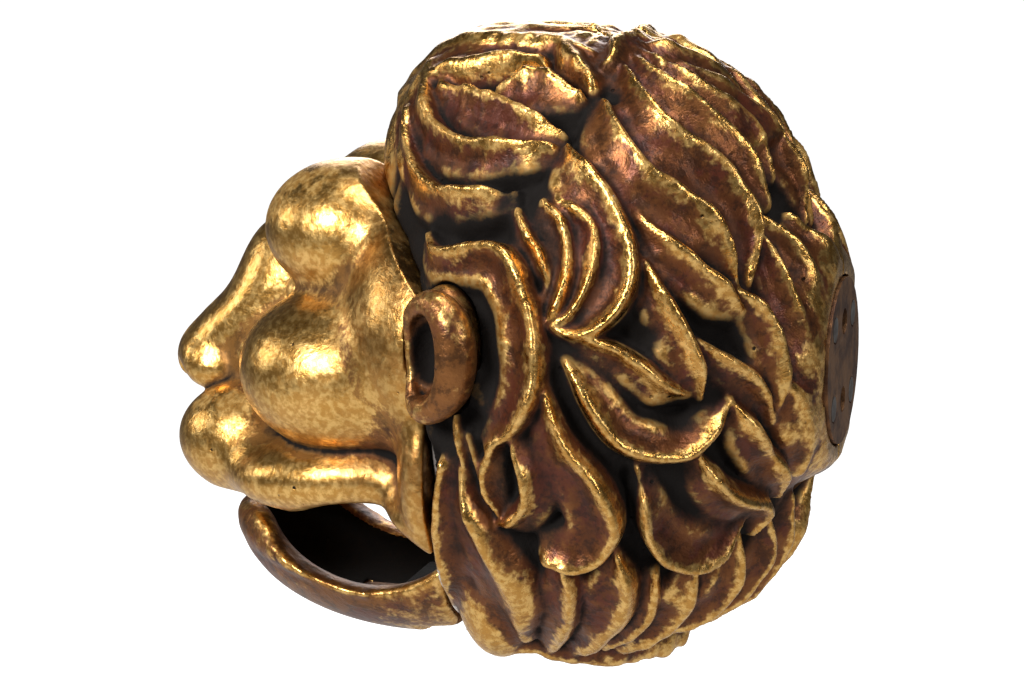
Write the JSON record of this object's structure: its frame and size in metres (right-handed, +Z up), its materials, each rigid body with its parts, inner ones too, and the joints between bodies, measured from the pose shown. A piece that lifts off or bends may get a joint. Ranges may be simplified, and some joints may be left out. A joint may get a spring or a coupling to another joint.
{
  "type": "door knocker",
  "caption": "Carved and gilded lion's head door knocker with a mane of flame-shaped locks; the hollow lower jaw pulls down and works a hammer inside the head.",
  "frame": {"origin": "centre of the iron back plate, on the face that meets the door", "axes": "+Y into the door, the lion faces -Y, +Z up, +X towards the lion's left"},
  "size_m": [0.1408, 0.1622, 0.15],
  "materials": {
    "gilt_face": "burnished gold leaf over red bole, worn",
    "gilt_mane": "gold leaf rubbed through to red bole, blackened in the hollows",
    "gilt_jaw": "worn gold leaf outside, dark inside",
    "iron": "forged, browned",
    "steel": "dull",
    "brass": "turned",
    "bare_wood": "bare limewood"
  },
  "bodies": {
    "head": {"mane_left": "gilt_mane", "mane_right": "gilt_mane", "ear_left": "gilt_mane", "ear_right": "gilt_mane", "face_block": "gilt_face", "hinge_bracket_left": "iron", "hinge_bracket_right": "iron", "hinge_pin": "steel", "anvil_bar": "iron", "back_plate": "iron", "upper_captive_nut": "steel", "lower_captive_nut": "steel", "stop_peg": "bare_wood", "plate_screw_1": "steel", "plate_screw_2": "steel", "plate_screw_3": "steel", "plate_screw_4": "steel", "bracket_screw_1": "steel", "bracket_screw_2": "steel", "bracket_screw_3": "steel", "bracket_screw_4": "steel", "face_dowel_1": "bare_wood", "face_dowel_2": "bare_wood", "face_dowel_3": "bare_wood", "face_dowel_4": "bare_wood", "mane_dowel_1": "bare_wood", "mane_dowel_2": "bare_wood", "mane_dowel_3": "bare_wood"},
    "jaw": {"lower_jaw": "gilt_jaw", "jaw_bush_left": "brass", "jaw_bush_right": "brass", "hammer_lever": "iron", "hammer_head": "iron", "hammer_rivet": "iron", "strap_screw_1": "steel", "strap_screw_2": "steel"}
  },
  "joints": [
    {"name": "jaw_pull", "type": "hinge", "parent": "head", "child": "jaw", "pos_m": [0, -0.0895, -0.06], "axis": [1, 0, 0], "range_deg": [0, 20]}
  ]
}
